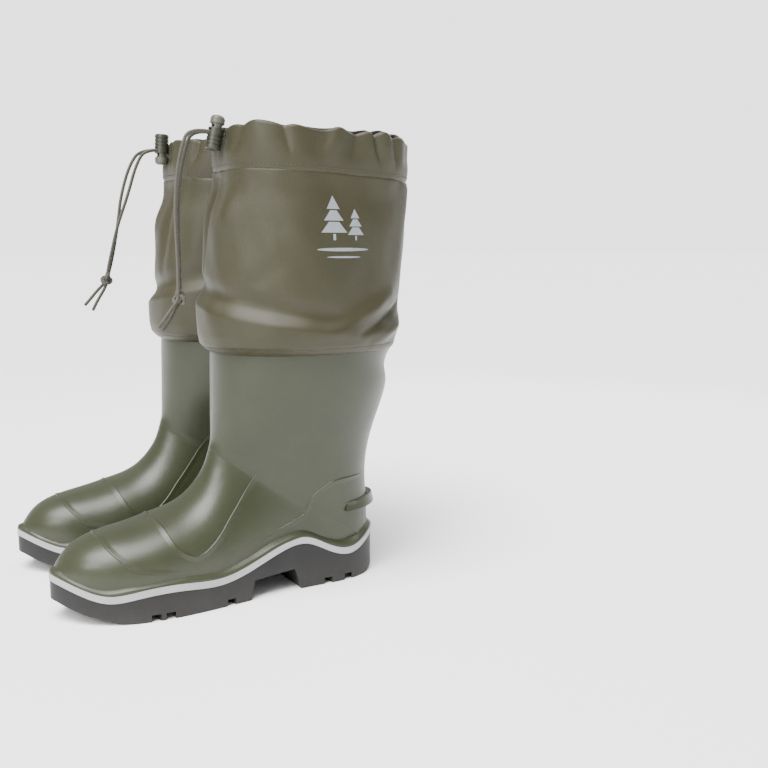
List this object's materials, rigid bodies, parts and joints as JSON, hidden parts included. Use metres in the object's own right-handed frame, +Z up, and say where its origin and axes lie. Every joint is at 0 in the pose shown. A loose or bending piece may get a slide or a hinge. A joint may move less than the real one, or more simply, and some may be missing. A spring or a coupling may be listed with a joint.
{
  "type": "insulated hunting boots",
  "caption": "Pair of tall insulated rubber hunting boots with lugged soles, fabric gaiters, drawcord rims with cord locks, and felt liners.",
  "frame": {"origin": "on the ground, midway between the two boots", "axes": "+X towards the toes, +Y towards the wearer's left, +Z up"},
  "size_m": [0.3416, 0.2902, 0.4252],
  "materials": {
    "outsole_rubber": "matt moulded black polyurethane rubber",
    "rand_rubber": "matt light grey moulded bead",
    "upper_rubber": "semi-matt moss green moulded polyurethane",
    "insole_board": "compressed fibre board",
    "liner_felt": "needled wool felt",
    "footbed_felt": "thick needled felt",
    "gaiter_cloth": "coated olive oxford weave with a satin sheen",
    "lining_cloth": "thin black lining taffeta",
    "eyelet_metal": "blackened brass",
    "label_cloth": "woven black tape, blank",
    "drawcord": "braided olive cord",
    "lock_plastic": "olive nylon, satin",
    "plunger_plastic": "pale olive nylon, satin",
    "spring_steel": "bright wire"
  },
  "bodies": {
    "left_boot": {"left_outsole": "outsole_rubber", "left_rand": "rand_rubber", "left_shell": "upper_rubber", "left_insole_board": "insole_board", "left_liner": "liner_felt", "left_footbed": "footbed_felt", "left_gaiter": "gaiter_cloth", "left_gaiter_lining": "lining_cloth", "left_hem": "gaiter_cloth", "left_eyelet": "eyelet_metal", "left_label": "label_cloth", "left_drawcord_loop": "drawcord", "left_cord_a": "drawcord", "left_cord_b": "drawcord", "left_tail_a": "drawcord", "left_tail_b": "drawcord", "left_knot": "drawcord"},
    "left_lock": {"left_lock_barrel": "lock_plastic", "left_lock_spring": "spring_steel"},
    "left_plunger": {"left_lock_plunger": "plunger_plastic"},
    "right_boot": {"right_outsole": "outsole_rubber", "right_rand": "rand_rubber", "right_shell": "upper_rubber", "right_insole_board": "insole_board", "right_liner": "liner_felt", "right_footbed": "footbed_felt", "right_gaiter": "gaiter_cloth", "right_gaiter_lining": "lining_cloth", "right_hem": "gaiter_cloth", "right_eyelet": "eyelet_metal", "right_label": "label_cloth", "right_drawcord_loop": "drawcord", "right_cord_a": "drawcord", "right_cord_b": "drawcord", "right_tail_a": "drawcord", "right_tail_b": "drawcord", "right_knot": "drawcord"},
    "right_lock": {"right_lock_barrel": "lock_plastic", "right_lock_spring": "spring_steel"},
    "right_plunger": {"right_lock_plunger": "plunger_plastic"}
  },
  "joints": [
    {"name": "right_boot_lift", "type": "slide", "parent": "left_boot", "child": "right_boot", "axis": [0, 0, 1], "range_m": [0, 0.35]},
    {"name": "left_lock_slide", "type": "slide", "parent": "left_boot", "child": "left_lock", "axis": [0.9781, 0, 0.2079], "range_m": [0, 0.005]},
    {"name": "left_plunger_press", "type": "slide", "parent": "left_lock", "child": "left_plunger", "axis": [0.2079, 0, -0.9781], "range_m": [0, 0.0039], "stiffness_N_per_m": 400, "springref_m": -0.003, "deforming": ["left_lock_spring"]},
    {"name": "right_lock_slide", "type": "slide", "parent": "right_boot", "child": "right_lock", "axis": [0.9986, 0, 0.0523], "range_m": [0, 0.0042]},
    {"name": "right_plunger_press", "type": "slide", "parent": "right_lock", "child": "right_plunger", "axis": [-0.0523, 0, 0.9986], "range_m": [0, 0.0039], "stiffness_N_per_m": 400, "springref_m": -0.003, "deforming": ["right_lock_spring"]}
  ]
}
